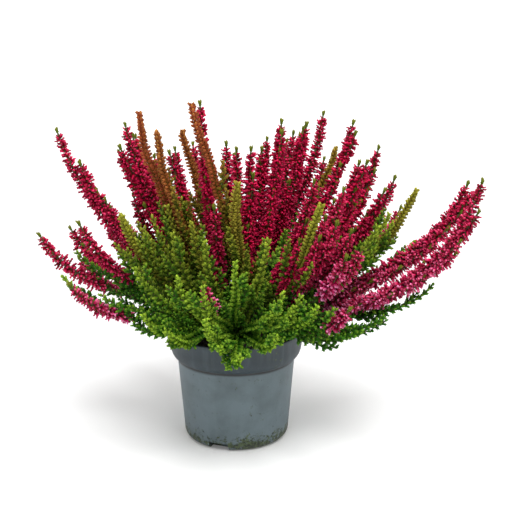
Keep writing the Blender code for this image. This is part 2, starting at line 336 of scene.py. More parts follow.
# flower spikes, as in the solids: tip in millimetres, flowering length, and how faded the buds are
spikes = {
    "left_high": (-154, 10, 276, 135, 0.08), "left_low": (-165, -30, 193, 75, 0.08),
    "left_mid": (-149, 22, 187, 60, 0.08), "left_fork": (-129, -40, 205, 70, 0.08),
    "left_droop": (-134, -66, 159, 62, 0.4), "left_tall": (-96, 20, 280, 120, 0.05),
    "left_behind": (-93, 62, 264, 110, 0.05), "left_slim": (-74, 42, 249, 90, 0.05),
    "left_slim_behind": (-58, 74, 251, 90, 0.05), "centre_tall": (-28, -20, 302, 150, 0.05),
    "centre_a": (-8, 20, 263, 115, 0.05), "centre_b": (0, 60, 252, 100, 0.05),
    "centre_c": (14, -12, 263, 110, 0.05), "crown_a": (28, 32, 266, 115, 0.05), "crown_b": (40, -2, 285, 130, 0.05),
    "crown_c": (52, 62, 267, 110, 0.05), "crown_d": (62, 18, 280, 125, 0.05), "crown_e": (80, 72, 284, 120, 0.05),
    "right_tall": (105, 42, 279, 130, 0.1), "right_mid": (127, 30, 258, 110, 0.1),
    "right_low": (138, 0, 236, 100, 0.08), "right_front": (104, -30, 254, 110, 0.08),
    "front_right": (88, -74, 240, 100, 0.12), "front_middle": (66, -48, 242, 90, 0.08),
    "sweep_high": (198, -16, 234, 150, 0.12), "sweep_low": (200, -62, 244, 165, 0.18),
    "small_right": (92, -104, 150, 34, 0.6), "small_front": (-22, -92, 167, 34, 0.4),
    "back_left_a": (-125, 82, 175, 70, 0.1), "back_left_b": (-92, 112, 232, 100, 0.1),
    "back_left_c": (-150, 62, 148, 55, 0.3), "back_left_d": (-110, 128, 165, 65, 0.2),
    "back_a": (-45, 128, 248, 110, 0.05), "back_b": (-4, 122, 238, 105, 0.05), "back_c": (48, 136, 250, 110, 0.05),
    "back_d": (0, 165, 190, 75, 0.2), "back_e": (-60, 160, 188, 70, 0.2), "back_f": (58, 164, 190, 75, 0.2),
    "back_right_a": (84, 112, 236, 100, 0.1), "back_right_b": (122, 98, 214, 90, 0.1),
    "back_right_c": (154, 68, 196, 85, 0.2),
}

# lower spikes that crowd in front of a taller one, only here: whose piece they are in, then as above
lowSpikes = (
    ("front_right", 94, -82, 208, 62, 0.15), ("front_right", 102, -88, 195, 58, 0.28),
    ("front_right", 82, -86, 215, 62, 0.12), ("front_middle", 69, -84, 203, 56, 0.1),
    ("front_right", 89, -98, 191, 48, 0.5), ("front_middle", 54, -70, 197, 56, 0.05),
    ("sweep_low", 159, -42, 171, 92, 0.3), ("right_tall", 86, 0, 216, 70, 0.05),
    ("front_middle", 77, -30, 208, 62, 0.05), ("left_tall", -91, 20, 217, 68, 0.05),
    ("centre_tall", -16, -48, 220, 78, 0.1),
)

# the two long sweeps hang below the usual curve, in millimetres
sags = {"sweep_high": 10, "sweep_low": 46}
# two rusty shoots, by their number below, bow as the solids don't
bows = {2: 20, 3: 34}

# leafy shoots: tip in millimetres, and how far it has turned from green to rust. The first 32 are in the
# solids too, where the fifth has its tip at y 20; the rest are only here
leafyShoots = (
    (-80, -10, 292, 0.95), (-64, -22, 277, 0.9), (-47, 20, 274, 0.9), (-34, -50, 304, 0.95), (90, 62, 254, 0.7),
    (160, 12, 220, 0.55), (162, 42, 170, 0.4), (2, -62, 242, 0.6), (68, -84, 226, 0.5), (-94, -40, 212, 0.5),
    (-79, -82, 177, 0.2), (-41, -118, 179, 0.15), (-72, -98, 144, 0.12), (-52, -112, 133, 0.1), (4, -108, 190, 0.1),
    (29, -98, 204, 0.32), (-22, -122, 172, 0.18), (39, -118, 168, 0.12), (52, -108, 162, 0.12),
    (69, -100, 150, 0.05), (-18, -130, 150, 0.12), (7, -118, 114, 0.05), (-10, -112, 122, 0.05),
    (36, -110, 128, 0.05), (166, -40, 152, 0.02), (-84, -58, 122, 0.02), (98, -62, 124, 0.02),
    (-160, 20, 140, 0.05), (-84, 140, 140, 0.05), (20, 178, 146, 0.05), (105, 142, 160, 0.15), (158, 92, 142, 0.05),
    (-75, -45, 201, 0.45), (-67, -30, 208, 0.45), (-57, -25, 217, 0.48), (-46, -10, 220, 0.49),
    (-50, -60, 201, 0.35), (-34, -55, 207, 0.45), (-23, -70, 197, 0.3), (149, 15, 200, 0.3), (138, 0, 198, 0.28),
    (132, 30, 206, 0.32), (158, 10, 177, 0.2), (120, -20, 183, 0.22), (126, -50, 126, 0.02), (104, -70, 118, 0.02),
    (131, -20, 209, 0.32), (120, -40, 202, 0.26), (-93, -20, 153, 0.02), (77, 20, 161, 0.05), (90, 0, 158, 0.05),
    (-84, 0, 196, 0.45), (-73, -20, 187, 0.4), (-93, -10, 175, 0.3),
)


def branchRoots():
    roots = {}
    for count, radius, shift in (plant["innerRoots"], plant["outerRoots"]):
        for k in range(count):
            roots[f"branch_{len(roots) + 1:02d}"] = polar(radius, 2 * math.pi * (k + shift) / count)
    return roots


def leanOf(tip):
    flat = math.hypot(tip.x, tip.y)
    return math.atan2(flat, tip.z - plant["soilEdge"]), Vector((tip.x / flat, tip.y / flat, 0))


def nearestRoot(tip, roots):
    lean, outwards = leanOf(tip)
    wanted = outwards * (plant["rootSpread"] * math.sin(lean))
    return min(roots, key=lambda name: (wanted - roots[name]).length)


def shootPath(tip, root, sag=0.0, bow=0.0):
    lean, outwards = leanOf(tip)
    start = Vector((root.x, root.y, plant["soilEdge"] + plant["startDepth"]))
    reach = (tip - start).length
    up, upByReach, out = plant["rise"]
    rise = start + upwards * (up + upByReach * reach) + outwards * (out * math.sin(lean)) + Vector((bow, 0, 0))
    least, more, power = plant["endLean"]
    endLean = lean * (least + more * (lean / math.radians(90)) ** power)
    endWay = upwards * math.cos(endLean) + outwards * math.sin(endLean)
    fall = tip - endWay * (plant["fall"] * reach) - upwards * sag + Vector((bow * 0.55, 0, 0))
    path = []
    for k in range(plant["pathSteps"] + 1):
        t = k / plant["pathSteps"]
        u = 1 - t
        path.append(start * u**3 + rise * (3 * u * u * t) + fall * (3 * u * t * t) + tip * t**3)
    return path


def pathTo(x, y, z, roots, sag=0.0, bow=0.0):
    # the path to a tip, in millimetres, and the branch that it grows from
    tip = Vector((x, y, z)) / 1000
    name = nearestRoot(tip, roots)
    return shootPath(tip, roots[name], sag / 1000, bow / 1000), name


def lengthOf(path):
    return sum((b - a).length for a, b in zip(path, path[1:]))


def cutPath(path, low, high, step):
    # evenly spaced points of a path between two distances along it
    total = [0.0]
    for a, b in zip(path, path[1:]):
        total.append(total[-1] + (b - a).length)
    count = max(2, round((high - low) / step))
    points = []
    k = 0
    for n in range(count + 1):
        want = low + (high - low) * n / count
        while k < len(path) - 2 and total[k + 1] < want:
            k += 1
        points.append(path[k].lerp(path[k + 1], (want - total[k]) / (total[k + 1] - total[k])))
    return points


def wander(path, amount, seed):
    # a grown stem is never a clean curve: it strays a little, less at its foot
    strayed = []
    for k, p in enumerate(path):
        share = min(1, 3 * k / len(path))
        strayed.append(p + noise.noise_vector(p * 26 + Vector((seed * 7.3, 0, 0))) * (amount * share))
    return strayed


def clearOfPot(p):
    # keeps side shoots above the rim, or outside it
    height, radius = 0.1065, 0.0655
    if p.z < height and math.hypot(p.x, p.y) < radius:
        return Vector((p.x, p.y, height))
    return p


def sideShoot(path, at, length, opening, rng, towards=None):
    # leaves the stem at an angle, then turns up beside it, on a side drawn by lot or drawn towards one
    k = min(len(path) - 2, int(at * (len(path) - 1)))
    way = (path[k + 1] - path[k]).normalized()
    across = way.orthogonal().normalized()
    across.rotate(Matrix.Rotation(rng.uniform(0, 2 * math.pi), 3, way))
    if towards:
        across = (across * 0.35 + (towards - way * towards.dot(way)).normalized()).normalized()
    out = (way * math.cos(opening) + across * math.sin(opening)).normalized()
    turn = (way + upwards * 0.5).normalized()
    steps, curl = 7, 0.42
    points = []
    for n in range(steps + 1):
        t = n / steps
        p = path[k] + out * (length * t * (1 - curl * t)) + turn * (length * curl * t * t)
        points.append(clearOfPot(p))
    return points


def leafKite(base, way, up, length, width, lift):
    # one scale leaf: four triangles, a keel down its back
    side = way.cross(up).normalized()
    middle = base + way * (length * 0.45)
    return [base, middle + side * width / 2 - up * lift * 0.3, middle - side * width / 2 - up * lift * 0.3,
            base + way * length + up * lift]


kiteFaces = ((0, 2, 1), (0, 1, 3), (0, 3, 2), (1, 2, 3))


def outwardFaces(mesh):
    shape = bmesh.new()
    shape.from_mesh(mesh)
    bmesh.ops.recalc_face_normals(shape, faces=shape.faces)
    shape.to_mesh(mesh)
    shape.free()


sprigShape = {"length": 0.007, "core": 0.00095, "leafLength": 0.0021, "leafWidth": 0.0015, "lean": 34}


def makeSprigMesh(name, look, twist):
    # a short side sprig: a stem clad in scale leaves, with the tips of four of them standing out
    points, faces, along = [], [], []
    rings = ((0.0, 0.75), (0.62, 1.2))
    for level, (share, swell) in enumerate(rings):
        for k in range(4):
            angle = math.pi / 2 * (k + level / 2) + twist
            points.append(polar(1, angle) * (look["core"] * swell) + upwards * (look["length"] * share))
            along.append(share * 0.75)
    points.append(upwards * look["length"])
    along.append(1.0)
    for k in range(4):
        right = (k + 1) % 4
        faces += [(k, right, 4 + k), (right, 4 + right, 4 + k), (4 + k, 4 + right, 8)]
    faces.append((3, 2, 1, 0))
    lean = math.radians(look["lean"])
    for k, share in enumerate((0.12, 0.26, 0.46, 0.6)):
        angle = math.pi * (k % 2) + math.pi / 2 * (k // 2) + twist + 0.4
        out = polar(1, angle)
        way = out * math.sin(lean) + upwards * math.cos(lean)
        up = upwards * math.sin(lean) - out * math.cos(lean)
        first = len(points)
        points.extend(leafKite(out * look["core"] * 0.4 + upwards * (look["length"] * share), way, up,
                               look["leafLength"], look["leafWidth"], 0.0004))
        faces.extend(tuple(first + n for n in f) for f in kiteFaces)
        along.extend((share * 0.7, share * 0.7 + 0.12, share * 0.7 + 0.12, share * 0.7 + 0.32))
    mesh = meshFrom(name, points, faces, smooth=False)
    giveValues(mesh, "along", along)
    outwardFaces(mesh)
    return linkedObject(name, mesh)


budShape = {"length": 0.0041, "width": 0.0024, "sides": 4, "stalks": (0.0006, 0.002, 0.0036)}


def makeBudMesh(name, look, stalk, bract):
    # a closed bud drawn out into its stalk, with or without a green bract under it
    points, faces, along, kinds = [Vector()], [], [0.0], []
    half = look["width"] / 2
    sides = look["sides"]
    for z, radius in ((0.3, 0.92), (0.96, 0.72)):
        for k in range(sides):
            points.append(polar(half * radius, 2 * math.pi * (k + z) / sides, stalk + look["length"] * z))
            along.append(z)
    faces.append(tuple(1 + sides + k for k in range(sides)))
    for k in range(sides):
        right = (k + 1) % sides
        low, lowRight = 1 + k, 1 + right
        high, highRight = low + sides, lowRight + sides
        faces += [(0, lowRight, low), (low, lowRight, highRight, high)]
    kinds.extend([2] * (2 * sides + 1))
    if bract:
        first = len(points)
        base, way, up = Vector((0.0002, 0, stalk * 0.6)), Vector((0.42, 0, 0.91)), Vector((0.91, 0, -0.42))
        points.extend(leafKite(base, way, up, 0.0034, 0.0012, 0.0003))
        faces.extend(tuple(first + k for k in f) for f in kiteFaces)
        along.extend([0.1, 0.3, 0.3, 0.6])
        kinds.extend([1] * 4)
    mesh = meshFrom(name, points, faces)
    giveValues(mesh, "along", along)
    giveValues(mesh, "kind", kinds)
    outwardFaces(mesh)
    return linkedObject(name, mesh)


sprigs = [
    makeSprigMesh("sprigOne", sprigShape, 0.0),
    makeSprigMesh("sprigTwo", dict(sprigShape, lean=50, length=0.0058), 0.6),
]
buds = [makeBudMesh(f"budStalk{k}", budShape, stalk, bract=k == 1) for k, stalk in enumerate(budShape["stalks"])]


def namedValue(tree, name):
    return firstOf(tree, "GeometryNodeInputNamedAttribute", {"Name": name}, data_type="FLOAT")


def randomValue(tree, low, high, seed, shift):
    shifted = maths(tree, "ADD", seed, shift)
    return addNode(tree, "FunctionNodeRandomValue", {2: low, 3: high, 8: shifted}, data_type="FLOAT").outputs[1]


def newTree(name, inputs):
    tree = bpy.data.node_groups.new(name, "GeometryNodeTree")
    tree.interface.new_socket("Geometry", in_out="INPUT", socket_type="NodeSocketGeometry")
    tree.interface.new_socket("Geometry", in_out="OUTPUT", socket_type="NodeSocketGeometry")
    for label, kind in inputs.items():
        tree.interface.new_socket(label, in_out="INPUT", socket_type="NodeSocket" + kind)
    return tree, addNode(tree, "NodeGroupInput").outputs, addNode(tree, "NodeGroupOutput").inputs


def storeValue(tree, geometry, name, value, domain="POINT", kind="FLOAT"):
    feeds = {"Geometry": geometry, "Name": name, "Value": value}
    return firstOf(tree, "GeometryNodeStoreNamedAttribute", feeds, data_type=kind, domain=domain)


def stemMesh(tree, curve, sides):
    # a round stem as thick as the path says
    ring = firstOf(tree, "GeometryNodeCurvePrimitiveCircle", {"Resolution": sides, "Radius": 1.0})
    tube = addNode(tree, "GeometryNodeCurveToMesh", {
        "Curve": curve, "Profile Curve": ring, "Scale": namedValue(tree, "thick"), "Fill Caps": True}).outputs[0]
    return storeValue(tree, tube, "kind", 0.0)


def pickOf(tree, sockets):
    # the shapes that an instance can be, as one list to pick from
    joined = addNode(tree, "GeometryNodeJoinGeometry")
    for socket in reversed(sockets):
        info = addNode(tree, "GeometryNodeObjectInfo", {"Object": socket}).outputs["Geometry"]
        single = firstOf(tree, "GeometryNodeGeometryToInstance", {0: info})
        tree.links.new(single, joined.inputs[0])
    return joined.outputs[0]


def placeOn(tree, points, shapes, rotation, scale, pick=0):
    return firstOf(tree, "GeometryNodeInstanceOnPoints", {
        "Points": points, "Instance": pickOf(tree, shapes), "Pick Instance": True,
        "Instance Index": pick, "Rotation": rotation, "Scale": scale,
    })


def turnBy(tree, rotation, axis, angle):
    by = firstOf(tree, "FunctionNodeAxisAngleToRotation", {"Axis": axis, "Angle": angle})
    feeds = {"Rotation": rotation, "Rotate By": by}
    return firstOf(tree, "FunctionNodeRotateRotation", feeds, rotation_space="LOCAL")


def cladPoints(tree, curve, spacing):
    # evenly spaced points, each with its number as step, where the path is clad
    along = addNode(tree, "GeometryNodeCurveToPoints", {"Curve": curve, "Length": spacing}, mode="LENGTH")
    number = firstOf(tree, "GeometryNodeInputIndex")
    numbered = storeValue(tree, along.outputs["Points"], "step", number, kind="INT")
    return along, without(tree, numbered, maths(tree, "LESS_THAN", namedValue(tree, "clad"), 0.5))


def without(tree, points, chosen):
    feeds = {"Geometry": points, "Selection": chosen}
    return firstOf(tree, "GeometryNodeDeleteGeometry", feeds, domain="POINT")


def repeated(tree, points, amount):
    # the points again and again, and which copy each one is
    feeds = {"Geometry": points, "Amount": amount}
    node = addNode(tree, "GeometryNodeDuplicateElements", feeds, domain="POINT")
    return node.outputs[0], node.outputs["Duplicate Index"]


def stepAngle(tree, turn):
    step = firstOf(tree, "GeometryNodeInputNamedAttribute", {"Name": "step"}, data_type="INT")
    return times(tree, step, turn)


def around(tree, low, high, seed, shift, value, way="ADD"):
    return maths(tree, way, value, randomValue(tree, low, high, seed, shift))


def jittered(tree, most, seed, shift, value):
    return around(tree, -most, most, seed, shift, value)


def leaned(tree, rotation, angle, lean):
    return turnBy(tree, turnBy(tree, rotation, (0, 0, 1), angle), (0, 1, 0), lean)


def finishTree(tree, parts, materials, out):
    # joined, realised, then wood, leaf and bud each given its material
    joined = addNode(tree, "GeometryNodeJoinGeometry")
    for part in parts:
        tree.links.new(part, joined.inputs[0])
    geometry = firstOf(tree, "GeometryNodeRealizeInstances", {0: joined.outputs[0]})
    for limit, material in zip((-1.0, 0.5, 1.5), materials):
        feeds = {0: namedValue(tree, "kind"), 1: limit}
        chosen = firstOf(tree, "FunctionNodeCompare", feeds, data_type="FLOAT", operation="GREATER_THAN")
        feeds = {"Geometry": geometry, "Selection": chosen, "Material": material}
        geometry = firstOf(tree, "GeometryNodeSetMaterial", feeds)
    tree.links.new(geometry, out[0])


branchLook = {
    "spacing": 0.0032,  # between pairs of side sprigs
    "turn": math.radians(91),  # from one pair to the next
    "stray": 0.0035,
    "jitter": 0.08,
    "sizes": (0.9, 1.1),
    "lean": (50, 27),  # degrees off the stem at its foot and at its tip
    "compactLean": (62, 25),
    "compactSize": 0.8,
    "compactFrom": 0.5,  # how rusty a shoot is before it grows compact
    "girth": 1.3,  # how stout the sprigs are
    "compactGirth": 1.55,
    "compactSpacing": 0.5,
    "sides": (0.34, 0.44, 0.54, 0.64, 0.74, 0.84),  # where side shoots leave
    "compactSides": (0.26, 0.32, 0.38, 0.44, 0.5, 0.57, 0.64),
    "stemSides": (0.36, 0.58, 0.78, 0.95),
    "woodFoot": 0.0017,
    "sideFoot": 0.0007,
    "sideBare": 0.004,
    "woodTip": 0.0005,
    "pointStep": 0.005,
    "budGap": 0.0012,  # between the leafy stem and its first buds
    "pegHeights": (0.0745, 0.082, 0.09, 0.096),
    "pegThickness": (0.0024, 0.0028, 0.0028, 0.0016),
}


def makeShootTree():
    # pairs of side sprigs up a stem, each pair crosswise to the last
    look = branchLook
    tree, given, out = newTree("leafyShoots", {
        "Sprig spacing": "Float", "Seed": "Int", "First sprig": "Object", "Second sprig": "Object",
        "Wood": "Material", "Leaf": "Material",
    })
    seed = given["Seed"]
    curve = firstOf(tree, "GeometryNodeMeshToCurve", {0: given["Geometry"]})
    stems = stemMesh(tree, curve, 5)
    along, clad = cladPoints(tree, curve, times(tree, given["Sprig spacing"], namedValue(tree, "gap")))
    pairs, copy = repeated(tree, clad, 2)
    angle = maths(tree, "ADD", stepAngle(tree, look["turn"]), times(tree, copy, math.pi))
    angle = jittered(tree, look["jitter"], seed, 1, angle)
    lean = jittered(tree, look["jitter"], seed, 2, namedValue(tree, "lean"))
    size = around(tree, *look["sizes"], seed, 3, namedValue(tree, "size"), "MULTIPLY")
    stout = times(tree, size, namedValue(tree, "girth"))
    scale = firstOf(tree, "ShaderNodeCombineXYZ", {0: stout, 1: stout, 2: size})
    feeds = {4: 0, 5: 1, 8: maths(tree, "ADD", seed, 4)}
    pick = addNode(tree, "FunctionNodeRandomValue", feeds, data_type="INT").outputs[2]
    rotation = leaned(tree, along.outputs["Rotation"], angle, lean)
    placed = placeOn(tree, pairs, (given["First sprig"], given["Second sprig"]), rotation, scale, pick)
    placed = storeValue(tree, placed, "tint", randomValue(tree, 0.0, 1.0, seed, 5), "INSTANCE")
    placed = storeValue(tree, placed, "kind", 1.0, "INSTANCE")
    finishTree(tree, (stems, placed), (given["Wood"], given["Leaf"]), out)
    return tree


spikeLook = {
    "spacing": 0.00144,
    "whorl": 5,
    "turn": 2.4,  # from one whorl to the next
    "jitter": 0.45,
    "stray": 0.0009,  # along the stem, in metres
    "lowLean": math.radians(104),
    "tipLean": math.radians(62),
    "leanJitter": 0.38,
    "sizes": (0.78, 1.15),
    "stalks": 2.6,  # picks one of three stalk lengths, longer where the spike is wide
    "knob": 4,  # sprigs in the leafy tip
    "knobTurn": 1.7,
    "knobLean": 0.2,
    "knobSizes": (0.7, 1.05),
    "knobTint": 0.45,
    "knobShare": 0.5,
    "stem": 0.002,
    "autumn": 0.35,
    "pointStep": 0.0045,
    "tipGap": 0.004,
    "racemeStep": 0.004,
}


def makeSpikeTree():
    # whorls of buds round a flowering stem, wider low down, and a leafy tip
    look = spikeLook
    tree, given, out = newTree("budSpike", {
        "Bud spacing": "Float", "Buds in a whorl": "Int", "Low lean": "Float", "Tip lean": "Float",
        "Seed": "Int", "Short bud": "Object", "Middle bud": "Object", "Long bud": "Object",
        "Tip sprig": "Object", "Wood": "Material", "Leaf": "Material", "Bud": "Material",
    })
    seed = given["Seed"]
    curve = firstOf(tree, "GeometryNodeMeshToCurve", {0: given["Geometry"]})
    stems = stemMesh(tree, curve, 5)
    along, clad = cladPoints(tree, curve, given["Bud spacing"])
    whorl, copy = repeated(tree, clad, given["Buds in a whorl"])
    each = maths(tree, "DIVIDE", 2 * math.pi, given["Buds in a whorl"])
    angle = maths(tree, "ADD", stepAngle(tree, look["turn"]), times(tree, copy, each))
    angle = jittered(tree, look["jitter"], seed, 1, angle)
    # no two buds of a whorl sit quite level
    feeds = {0: along.outputs["Tangent"], "Scale": randomValue(tree, -look["stray"], look["stray"], seed, 8)}
    strayed = firstOf(tree, "ShaderNodeVectorMath", feeds, operation="SCALE")
    uneven = firstOf(tree, "GeometryNodeSetPosition", {"Geometry": whorl, "Offset": strayed})
    share = namedValue(tree, "share")
    feeds = {0: maths(tree, "POWER", share, 2.0), 2: given["Low lean"], 3: given["Tip lean"]}
    lean = firstOf(tree, "ShaderNodeMix", feeds, data_type="FLOAT")
    lean = jittered(tree, look["leanJitter"], seed, 2, lean)
    size = around(tree, *look["sizes"], seed, 3, namedValue(tree, "size"), "MULTIPLY")
    wide = around(tree, 0.0, look["stalks"], seed, 4, namedValue(tree, "reach"), "MULTIPLY")
    pick = firstOf(tree, "FunctionNodeFloatToInt", {0: wide}, rounding_mode="FLOOR")
    rotation = leaned(tree, along.outputs["Rotation"], angle, lean)
    shapes = (given["Short bud"], given["Middle bud"], given["Long bud"])
    placed = placeOn(tree, uneven, shapes, rotation, size, pick)
    placed = storeValue(tree, placed, "tint", randomValue(tree, 0.0, 1.0, seed, 5), "INSTANCE")
    # the leafy tip
    ends = addNode(tree, "GeometryNodeCurveToPoints", {"Curve": curve}, mode="EVALUATED")
    tips = without(tree, ends.outputs["Points"], maths(tree, "LESS_THAN", share, 0.999))
    knob, copy = repeated(tree, tips, look["knob"])
    tipTurn = leaned(tree, ends.outputs["Rotation"], times(tree, copy, look["knobTurn"]), look["knobLean"])
    sizes = randomValue(tree, *look["knobSizes"], seed, 6)
    leafy = placeOn(tree, knob, (given["Tip sprig"],), tipTurn, sizes)
    for name, value in (("kind", 1.0), ("tint", look["knobTint"]), ("share", look["knobShare"])):
        leafy = storeValue(tree, leafy, name, value, "INSTANCE")
    finishTree(tree, (stems, placed, leafy), (given["Wood"], given["Leaf"], given["Bud"]), out)
    return tree


def grow(name, strands, tree, settings):
    # strands are (points, values for each point); the tree grows on them and leaves one plain mesh
    points, edges, values = [], [], {}
    for path, marks in strands:
        first = len(points)
        points.extend(path)
        edges.extend((first + k, first + k + 1) for k in range(len(path) - 1))
        for key, column in marks.items():
            values.setdefault(key, []).extend(column)
    mesh = bpy.data.meshes.new(name + "Paths")
    mesh.from_pydata([tuple(p) for p in points], edges, [])
    for key, column in values.items():
        giveValues(mesh, key, column)
    seedling = linkedObject(name + "Seedling", mesh)
    modifier = seedling.modifiers.new("Growth", "NODES")
    modifier.node_group = tree
    for socket in tree.interface.items_tree:
        if socket.item_type == "SOCKET" and socket.in_out == "INPUT" and socket.name in settings:
            modifier[socket.identifier] = settings[socket.name]
    graph = bpy.context.evaluated_depsgraph_get()
    ready = seedling.evaluated_get(graph)
    grown = bpy.data.meshes.new_from_object(ready, preserve_all_data_layers=True, depsgraph=graph)
    seedling.modifiers.clear()
    bpy.data.objects.remove(seedling)
    bpy.data.meshes.remove(mesh)
    grown.name = name
    return linkedObject(name, grown)


shootTree = makeShootTree()
spikeTree = makeSpikeTree()
print("growth trees made")


def leafyStrand(path, autumn, shareFrom, shareTo, bareLength, size, gap=1.0, foot=None, compact=False):
    # compact shoots are the rusty ones: short sprigs close together right up to a blunt tip
    look = branchLook
    whole = lengthOf(path)
    foot = foot or look["woodFoot"]
    leanLow, leanHigh = look["compactLean"] if compact else look["lean"]
    if compact:
        size, gap = size * look["compactSize"], gap * look["compactSpacing"]
    keys = ("thick", "clad", "share", "autumn", "size", "gap", "lean", "girth")
    rows = []
    for k in range(len(path)):
        t = k / (len(path) - 1)
        swell = 0.8 + 0.35 * math.sin(math.pi * min(1, t * 1.1)) - 0.1 * t**8
        rows.append((
            foot + (look["woodTip"] - foot) * t,
            1.0 if t * whole >= bareLength else 0.0,
            shareFrom + (shareTo - shareFrom) * t,
            autumn ** 1.4,
            size if compact else size * swell,
            gap,
            math.radians(leanLow + (leanHigh - leanLow) * t ** (12 if compact else 3)),
            look["compactGirth"] if compact else look["girth"],
        ))
    return path, dict(zip(keys, zip(*rows)))


def leafyShootStrands(number, path, autumn):
    # one leafy shoot and its side shoots
    look = branchLook
    rng = random.Random(100 + number)
    path = wander(cutPath(path, 0, lengthOf(path) - 0.003, look["pointStep"]), look["stray"], number)
    compact = autumn >= look["compactFrom"]
    # painted shade: the barely rusted shoots low at the sides stand in shade, so their tips stay darker
    shadeLimitedShare = 0.55 if autumn < 0.03 else 1.0
    strands = [leafyStrand(path, autumn, 0.1, shadeLimitedShare, plant["woodLength"], 1.1, compact=compact)]
    for at in look["compactSides"] if compact else look["sides"]:
        long = rng.uniform(0.03, 0.046) * (1.3 - at) if compact else rng.uniform(0.016, 0.032) * (1.15 - 0.6 * at)
        side = sideShoot(path, at + rng.uniform(-0.04, 0.04), long * 1.3, rng.uniform(0.45, 0.8), rng)
        shareTo = (0.95 if compact else 0.68 * shadeLimitedShare) * min(1, at + 0.35)
        strands.append(leafyStrand(side, autumn * 0.75, at * 0.4, shareTo, look["sideBare"], 0.9,
                                   foot=look["sideFoot"]))
    return strands


def flowerStemStrands(number, path, length):
    # the leafy stem under one spike, and its side shoots
    look = branchLook
    rng = random.Random(300 + number)
    stem = cutPath(path, 0, lengthOf(path) - length / 1000 - look["budGap"], look["pointStep"])
    strands = [leafyStrand(stem, 0.05, 0.05, 0.55, plant["woodLength"], 1.0, 1.35)]
    for at in look["stemSides"]:
        side = sideShoot(stem, at, rng.uniform(0.024, 0.044), rng.uniform(0.45, 0.85), rng)
        shareTo = 0.4 + 0.35 * at
        strands.append(leafyStrand(side, 0.1, at * 0.25, shareTo, look["sideBare"], 1.0, 1.25, foot=look["sideFoot"]))
    return strands


def makeBranches():
    look = branchLook
    roots = branchRoots()
    strands = {name: [] for name in roots}
    for number, (x, y, z, autumn) in enumerate(leafyShoots):
        path, name = pathTo(x, y, z, roots, bow=bows.get(number, 0))
        strands[name] += leafyShootStrands(number, path, autumn)
    for number, (title, (x, y, z, length, _)) in enumerate(spikes.items()):
        path, name = pathTo(x, y, z, roots, sags.get(title, 0))
        strands[name] += flowerStemStrands(number, path, length)
    for _, x, y, z, length, _ in lowSpikes:
        path, name = pathTo(x, y, z, roots)
        stem = cutPath(path, 0, lengthOf(path) - length / 1000 - look["budGap"], look["pointStep"])
        strands[name].append(leafyStrand(stem, 0.05, 0.05, 0.4, plant["woodLength"], 0.9, 1.6))
    for number, name in enumerate(roots):
        root = roots[name]
        # a bare peg of wood that goes down into the soil
        peg = [Vector((root.x, root.y, z)) for z in look["pegHeights"]]
        marks = {key: [0.0] * len(peg) for key in ("clad", "share", "autumn", "lean")}
        marks.update({key: [1.0] * len(peg) for key in ("size", "gap", "girth")}, thick=look["pegThickness"])
        strands[name].append((peg, marks))
        grown = grow("leafy_" + name, strands[name], shootTree, {
            "Sprig spacing": look["spacing"], "Seed": 40 + number,
            "First sprig": sprigs[0], "Second sprig": sprigs[1],
            "Wood": woodMaterial, "Leaf": leafMaterial,
        })
        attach(grown, "root")
        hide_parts(name)
    return roots


roots = makeBranches()
print("branches grown")


# long racemes beside the main spike: how many, from where to where along the shoot, length in millimetres,
# degrees off the stem, the side they stand on, and how faded they are
racemes = {
    "sweep_low": (14, 0.28, 0.9, 24, 40, 24, (0.1, -0.5, -1.0), 0.9),
    "sweep_high": (14, 0.26, 0.9, 26, 42, 28, (0.2, -0.5, -0.9), 0.5),
    "left_tall": (10, 0.28, 0.8, 32, 50, 26, (-1.0, -0.2, 0.1), 0),
    "left_behind": (9, 0.26, 0.85, 28, 46, 18, (-0.4, -0.8, 0), 0),
    "left_slim": (6, 0.3, 0.85, 24, 42, 18, (-0.6, -0.8, 0), 0),
    "left_slim_behind": (5, 0.3, 0.85, 24, 40, 18, (-0.4, -1.0, 0), 0),
    "left_high": (9, 0.35, 0.8, 26, 42, 22, (0.8, -0.4, 0.4), 0.1),
    "left_mid": (4, 0.35, 0.8, 18, 28, 20, (0.3, -0.5, 0.4), 0.1),
    "centre_tall": (10, 0.24, 0.74, 26, 44, 17, (0.1, -1.0, -0.2), 0),
    "centre_c": (5, 0.36, 0.75, 24, 38, 15, (0.2, -1.0, 0), 0),
    "crown_a": (5, 0.4, 0.85, 24, 38, 15, (-0.8, -0.5, 0), 0),
    "crown_b": (6, 0.4, 0.9, 24, 38, 14, (0.4, -0.6, 0), 0),
    "crown_d": (5, 0.45, 0.9, 24, 38, 14, (-0.8, -0.5, 0), 0),
    "right_tall": (5, 0.35, 0.85, 26, 42, 18, (0.5, -1.0, 0), 0),
    "front_middle": (6, 0.34, 0.72, 22, 36, 20, (0.3, -1.0, -0.2), 0.05),
    "front_right": (7, 0.26, 0.64, 24, 38, 30, (0.2, -1.0, -0.9), 0.5),
    "right_front": (10, 0.32, 0.85, 26, 42, 26, (0.8, -0.8, -0.1), 0.05),
    "right_mid": (7, 0.36, 0.8, 24, 40, 22, (0.8, -0.6, -0.1), 0),
    "right_low": (7, 0.34, 0.8, 24, 38, 22, (-0.8, -0.5, 0.3), 0.1),
}

def budStrand(path, pale, reach):
    look = spikeLook
    count = len(path)
    keys = ("thick", "clad", "share", "pale", "reach", "size", "autumn")
    rows = []
    for k in range(count):
        t = k / (count - 1)
        swell = min(1.0, 0.65 + 1.2 * t) if t < 0.3 else 1 - 0.5 * ((t - 0.3) / 0.7) ** 1.8
        rows.append((
            look["stem"] * (1 - 0.5 * t),
            1.0 if k < count - 1 else 0.0,
            t,
            min(1.0, pale * (1.5 - t)),
            reach * swell,
            1.1 - 0.25 * t**4,
            look["autumn"],
        ))
    return path, dict(zip(keys, zip(*rows)))


def topOf(path, length):
    # the flowering end of a path
    whole = lengthOf(path)
    return cutPath(path, whole - length / 1000, whole - spikeLook["tipGap"], spikeLook["pointStep"])


